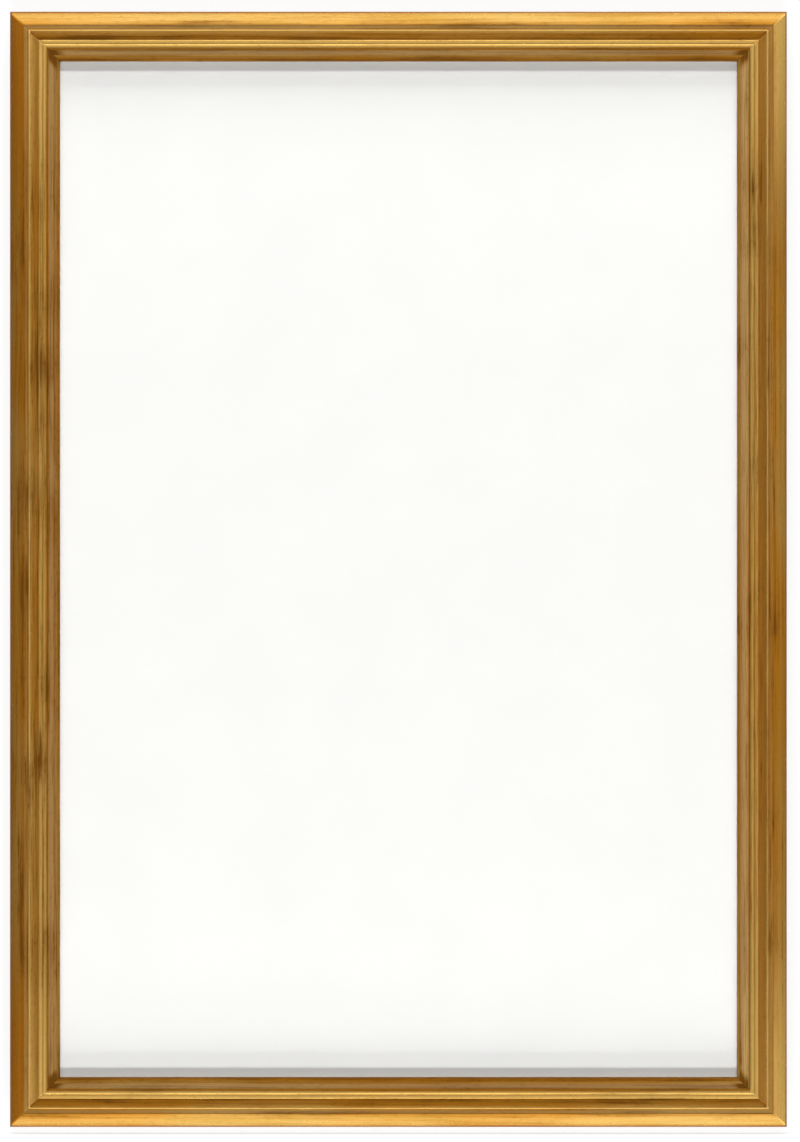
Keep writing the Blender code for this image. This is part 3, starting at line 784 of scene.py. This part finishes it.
head_line = [Vector((0, head_height)), Vector((crown_radius, head_height))]
head_line += bent(head_line[-1], Vector((head_radius, rim_height)), crown_bulge, 8)
head_line += [Vector(point) for point in (
    (head_radius, rim_ease), (head_radius - rim_ease, 0), (shank_radius, 0),
    (shank_radius, point_length - screw_length), (0, -screw_length),
)]
screw = draw_line("screw_pattern", [Vector((r, y, 0)) for r, y in head_line])
bpy.ops.mesh.select_all(action="SELECT")
bpy.ops.mesh.spin(steps=40, angle=2 * math.pi, center=(0, 0, 0), axis=(0, 1, 0))
bpy.ops.mesh.select_all(action="SELECT")
bpy.ops.mesh.remove_doubles(threshold=weld_distance)
bpy.ops.mesh.normals_make_consistent(inside=False)
bpy.ops.object.mode_set(mode="OBJECT")

bpy.ops.object.select_all(action="DESELECT")
bpy.ops.mesh.primitive_cube_add(size=recess_slot)
driver = bpy.context.object
bpy.ops.object.mode_set(mode="EDIT")
for arm in (Vector((1, 0, 0)), Vector((-1, 0, 0)), Vector((0, 0, 1)), Vector((0, 0, -1))):
    pick(driver, "FACE", lambda f: (f.calc_center_median() - arm * recess_slot / 2).length < exact_place)
    bpy.ops.mesh.extrude_region_move(TRANSFORM_OT_translate={"value": arm * recess_arm})
pick(driver, "VERT", lambda v: v.co.y > 0)
bpy.ops.transform.translate(value=(0, head_height + cutter_rise, 0))
pick(driver, "VERT", lambda v: v.co.y < 0)
bpy.ops.transform.translate(value=(0, head_height - recess_depth + recess_slot / 2, 0))
bpy.ops.transform.resize(value=(recess_taper, 1, recess_taper), center_override=(0, 0, 0))
bpy.ops.object.mode_set(mode="OBJECT")
work(screw, "BOOLEAN", object=driver, operation="DIFFERENCE", solver="EXACT")
bpy.data.objects.remove(driver)
screw_zinc = plated_steel(
    "screw_zinc", (0.600, 0.600, 0.600), (0.470, 0.470, 0.480), (0.600, 0.530, 0.380), 0.28
)
screw.data.materials.append(screw_zinc)

button_seat = rail_back + button_gap + button_thickness + button_gap
screw_turns = (0.3, 1.1, 0.7, 0.15, 0.95, 0.5, 1.3, 0.85, 0.05, 0.6)
for turn, (label, (x, z, _)) in zip(screw_turns, button_pivots.items()):
    piece = copy_of(screw, "screw_button_" + label)
    put(piece, (x, button_seat, z), turn)
    fit(piece, "frame", "button_screw_" + label)
hanger_x = 0.325
hanger_y = -0.0034
hanger_z = 0.274
hangers = (("left", -hanger_x), ("right", hanger_x))
strap_screws = (("upper", 0.021, 0.4), ("lower", 0.035, 1.0))
for side, x in hangers:
    for row, drop, turn in strap_screws:
        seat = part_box(f"hanger_screw_{side}_{row}")[1].y - head_height
        piece = copy_of(screw, f"screw_hanger_{side}_{row}")
        put(piece, (x, seat, hanger_z - drop), turn)
        fit(piece, "frame", f"hanger_screw_{side}_{row}")
bpy.data.objects.remove(screw)


# Hanger straps: strips of plated steel, each folded round the bar of its ring so that both leaves lie on
# the rail, with rounded tails. Two screws hold each one to the back of a side rail.

strap_width = 0.011
strap_thickness = 0.0010
eye_radius = 0.0021
eye_wrap = math.radians(240)
strap_tail = -0.041
strap_neck = -0.0050
tail_corner = 0.004
strap_edge = 0.00015
leaf_gap = 0.0003
eye_steps = 32
upper_leaf = -eye_radius + strap_thickness + leaf_gap

strip_line = [Vector((0, -eye_radius, strap_tail)), Vector((0, -eye_radius, strap_tail / 2))]
for n in range(eye_steps + 1):
    angle = eye_wrap * n / eye_steps
    strip_line.append(Vector((0, -eye_radius * math.cos(angle), eye_radius * math.sin(angle))))
strip_line += [Vector((0, upper_leaf, strap_neck)), Vector((0, upper_leaf, strap_tail))]
strap = draw_line("strap_pattern", [point - Vector((strap_width / 2, 0, 0)) for point in strip_line])
bpy.ops.mesh.select_all(action="SELECT")
bpy.ops.mesh.extrude_region_move(TRANSFORM_OT_translate={"value": (strap_width, 0, 0)})
pick(strap, "VERT", lambda v: v.co.z < strap_tail + same_place)
bpy.ops.mesh.bevel(offset=tail_corner, segments=8, affect="VERTICES")
bpy.ops.mesh.select_all(action="SELECT")
bpy.ops.mesh.normals_make_consistent(inside=False)
bpy.ops.object.mode_set(mode="OBJECT")
work(strap, "SOLIDIFY", thickness=strap_thickness, offset=0.0, use_even_offset=True)
work(strap, "BEVEL", width=strap_edge, segments=2, limit_method="ANGLE", angle_limit=math.radians(50))
bpy.ops.object.mode_set(mode="EDIT")
bpy.ops.mesh.select_all(action="SELECT")
bpy.ops.mesh.normals_make_consistent(inside=False)
bpy.ops.object.mode_set(mode="OBJECT")
for _, drop, _ in strap_screws:
    bpy.ops.object.select_all(action="DESELECT")
    bpy.ops.mesh.primitive_cylinder_add(
        vertices=40, radius=button_hole, depth=0.02, location=(0, 0, -drop), rotation=(math.pi / 2, 0, 0)
    )
    punch = bpy.context.object
    work(strap, "BOOLEAN", object=punch, operation="DIFFERENCE", solver="EXACT")
    bpy.data.objects.remove(punch)
strap_zinc = plated_steel(
    "strap_zinc", (0.660, 0.665, 0.670), (0.540, 0.545, 0.555), (0.640, 0.590, 0.460), 0.27
)
strap.data.materials.append(strap_zinc)
for side, x in hangers:
    piece = copy_of(strap, "strap_" + side)
    put(piece, (x, hanger_y, hanger_z))
    fit(piece, "frame", "hanger_strap_" + side)
bpy.data.objects.remove(strap)


# Hanger rings: lengths of round steel wire bent to a D and plated, with the straight bar in the eye of
# the strap. Each swings there, and hooks on the wall through its round top.

wire_radius = 0.0013
ring_half = 0.009
ring_corner = 0.003
ring_crown = 0.005
corner_steps = 12
crown_steps = 36

corner_line = []
for n in range(corner_steps + 1):
    angle = math.pi / 2 * (n / corner_steps - 1)
    corner_line.append(
        (ring_half + ring_corner * (math.cos(angle) - 1), ring_corner * (math.sin(angle) + 1))
    )
crown_line = []
for n in range(crown_steps + 1):
    angle = math.pi * n / crown_steps
    crown_line.append((ring_half * math.cos(angle), ring_crown + ring_half * math.sin(angle)))
ring_line = corner_line + crown_line + [(-x, z) for x, z in reversed(corner_line)]
ring = draw_line("ring_pattern", [Vector((x, 0, z)) for x, z in ring_line])
pick(ring, "VERT", lambda v: v.co.z < exact_place)
bpy.ops.mesh.edge_face_add()
bpy.ops.object.mode_set(mode="OBJECT")
bpy.ops.object.convert(target="CURVE")
ring.data.bevel_depth = wire_radius
ring.data.bevel_resolution = 6
bpy.ops.object.convert(target="MESH")
bpy.ops.object.mode_set(mode="EDIT")
bpy.ops.mesh.select_all(action="SELECT")
bpy.ops.mesh.remove_doubles(threshold=weld_distance)
bpy.ops.mesh.normals_make_consistent(inside=False)
bpy.ops.object.mode_set(mode="OBJECT")
ring.data.materials.clear()
ring_zinc = plated_steel(
    "ring_zinc", (0.690, 0.695, 0.700), (0.580, 0.585, 0.595), (0.650, 0.600, 0.480), 0.22
)
ring.data.materials.append(ring_zinc)
for side, x in hangers:
    piece = copy_of(ring, "ring_wire_" + side)
    put(piece, (x, hanger_y, hanger_z))
    fit(piece, "ring_" + side, "hanger_ring_" + side)
bpy.data.objects.remove(ring)


# Wall bumpers: moulded feet of soft dark rubber, stuck to the bottom corners of the back. They keep the
# frame off the wall and level.

bumper_radius = 0.006
bumper_height = 0.0060
bumper_x = 0.284
bumper_z = -0.475
bumper_edge = 0.0010
bumper_flare = 0.0008
dimple_radius = 0.0022
dimple_edge = 0.0027
dimple_depth = 0.00025


def soft_rubber():
    finish, shader, place = new_finish("soft_rubber")
    cloud = place.node("TexNoise", {}, {"Vector": place, "Scale": 240.0, "Detail": 3.0})
    pit = place.node("TexNoise", {}, {"Vector": place, "Scale": 2600.0, "Detail": 2.0})
    colour = cloud.between(0.3, 0.75).tint((0.055, 0.050, 0.047), (0.036, 0.033, 0.032))
    colour = (pit.between(0.6, 0.8) * 0.4).tint(colour, (0.130, 0.122, 0.112))
    colour.feed(shader.inputs["Base Color"])
    (0.62 + (pit - 0.5) * 0.2).feed(shader.inputs["Roughness"])
    raise_grain(shader, pit, 0.00004, 0.7)
    return finish


dimple_floor = bumper_height - dimple_depth
foot_line = [Vector((0, dimple_floor)), Vector((dimple_radius, dimple_floor))]
foot_line += [Vector((dimple_edge, bumper_height)), Vector((bumper_radius - bumper_edge, bumper_height))]
foot_line += bent(foot_line[-1], Vector((bumper_radius, bumper_height - bumper_edge)), 0.00028, 6)
foot_line += [Vector(point) for point in (
    (bumper_radius + bumper_flare / 2, 0.0022), (bumper_radius + bumper_flare, 0.0004),
    (bumper_radius + bumper_flare, 0), (0, 0),
)]
foot = draw_line("bumper_pattern", [Vector((r, y, 0)) for r, y in foot_line])
bpy.ops.mesh.select_all(action="SELECT")
bpy.ops.mesh.spin(steps=48, angle=2 * math.pi, center=(0, 0, 0), axis=(0, 1, 0))
bpy.ops.mesh.select_all(action="SELECT")
bpy.ops.mesh.remove_doubles(threshold=weld_distance)
bpy.ops.mesh.normals_make_consistent(inside=False)
bpy.ops.object.mode_set(mode="OBJECT")
foot.data.materials.append(soft_rubber())
for side, x in (("left", -bumper_x), ("right", bumper_x)):
    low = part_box("wall_bumper_" + side)[0]
    piece = copy_of(foot, "bumper_foot_" + side)
    put(piece, (x, low.y, bumper_z))
    fit(piece, "frame", "wall_bumper_" + side)
bpy.data.objects.remove(foot)


# Setting: a pale wall behind the frame and a pale floor below it, both open from behind so that the back
# of the frame can be seen, in plain soft light that is strongest from above and below.

def pale_paint(name, colour, glow):
    """Paint that glows by a share of white where it is seen, so that it is pale and keeps shadows."""
    finish, shader, place = new_finish(name, Roughness=0.9)
    nodes = finish.node_tree.nodes
    cloud = place.node("TexNoise", {}, {"Vector": place, "Scale": 3.0, "Detail": 2.0})
    cloud.tint(colour, [level * 0.985 for level in colour]).feed(shader.inputs["Base Color"])
    rays = nodes.new("ShaderNodeLightPath").outputs
    seen = Shade(rays["Is Camera Ray"]) + Shade(rays["Is Glossy Ray"])
    seen = place.math("MINIMUM", seen + Shade(rays["Is Transmission Ray"]), 1.0) * glow
    white = place.node("Emission", {}, {"Color": (1, 1, 1, 1), "Strength": 1.0})
    paint = place.node("MixShader", {}, {0: seen, 1: Shade(shader.outputs[0]), 2: white})
    behind = Shade(nodes.new("ShaderNodeNewGeometry").outputs["Backfacing"])
    open_side = place.node("BsdfTransparent", {}, {})
    sheet = place.node("MixShader", {}, {0: behind, 1: paint, 2: open_side})
    sheet.feed(nodes["Material Output"].inputs["Surface"])
    return finish


for name, size, place, turn, colour, glow in (
    ("wall", 12.0, (0, 0.0005, 0), (math.pi / 2, 0, 0), (0.940, 0.940, 0.940), 0.8),
    ("floor", 12.0, (0, -3.0, -0.5005), (0, 0, 0), (0.860, 0.860, 0.850), 0.7),
):
    bpy.ops.object.select_all(action="DESELECT")
    bpy.ops.mesh.primitive_plane_add(size=size, location=place, rotation=turn)
    plane = bpy.context.object
    plane.name = name
    bpy.ops.object.transform_apply(location=True, rotation=True, scale=True)
    plane.data.materials.append(pale_paint("pale_" + name, colour, glow))
    plane.visible_diffuse = False
    plane.visible_glossy = False
    plane.visible_transmission = False
    plane.visible_shadow = False

world = bpy.data.worlds.new("soft_room")
bpy.context.scene.world = world
world.use_nodes = True
world_nodes = world.node_tree.nodes
facing = Shade(world_nodes.new("ShaderNodeTexCoord").outputs["Generated"])
to_right, to_back = facing.parts()[:2]
front = facing.math("MAXIMUM", 0 - to_back, 0.0)
back = facing.math("MAXIMUM", to_back, 0.0)
on_matt = Shade(world_nodes.new("ShaderNodeLightPath").outputs["Is Diffuse Ray"])
to_side = abs(to_right)
gloss_level = 0.30 + front * 0.42 + to_right * 0.12 + to_side * 0.04 + back * 0.5
matt_level = 0.04 + to_side * to_side * to_side * 0.25 + back * 0.65
level = gloss_level * (1 - on_matt) + matt_level * on_matt
room_light = on_matt.tint((1.0, 0.98, 0.95), (1.0, 0.94, 0.88))
level.feed(world_nodes["Background"].inputs["Strength"])
room_light.feed(world_nodes["Background"].inputs["Color"])


def hang_lamp(name, place, aim, width, depth, watts, on_metal):
    """A soft lamp that shows either in polished metal or on matt surfaces."""
    bpy.ops.object.light_add(type="AREA", location=place)
    lamp = bpy.context.object
    lamp.name = name
    lamp.rotation_euler = (Vector(aim) - Vector(place)).to_track_quat("-Z", "Y").to_euler()
    lamp.data.shape = "RECTANGLE"
    lamp.data.size = width
    lamp.data.size_y = depth
    lamp.data.energy = watts
    lamp.data.color = (1.0, 0.995, 0.985)
    lamp.visible_camera = False
    lamp.visible_glossy = on_metal
    lamp.visible_diffuse = not on_metal


middle = (0, 0, 0)
strip_y = -0.0925
for name, end in (("upper", 1), ("lower", -1)):
    hang_lamp(
        name + "_strip", place=(0, strip_y, 0.56 * end), aim=(0, strip_y, 0),
        width=1.5, depth=0.135, watts=0.81, on_metal=True,
    )
    hang_lamp(
        name + "_key", place=(0, -3.5, 5.3 * end), aim=middle,
        width=2.8, depth=0.6, watts=248.0, on_metal=False,
    )
    hang_lamp(
        name + "_wash", place=(0, -1.1, 5.2 * end), aim=middle,
        width=2.8, depth=1.1, watts=385.0, on_metal=False,
    )
for name, end in (("left", -1), ("right", 1)):
    hang_lamp(
        name + "_fill", place=(3.0 * end, 0, 0), aim=middle,
        width=0.2, depth=2.0, watts=45.0, on_metal=False,
    )

lens = 250.0
sensor = 36.0
view_rows = 1142
row_height = 0.8859e-3
face_depth = -0.0200
camera_x = 0.0014
camera_z = -0.0015
bpy.ops.object.camera_add(
    location=(camera_x, face_depth - view_rows * row_height * lens / sensor, camera_z),
    rotation=(math.pi / 2, 0, 0),
)
camera = bpy.context.object
camera.data.lens = lens
camera.data.sensor_width = sensor
camera.data.clip_end = 100.0
bpy.context.scene.camera = camera
bpy.context.scene.view_settings.view_transform = "Standard"
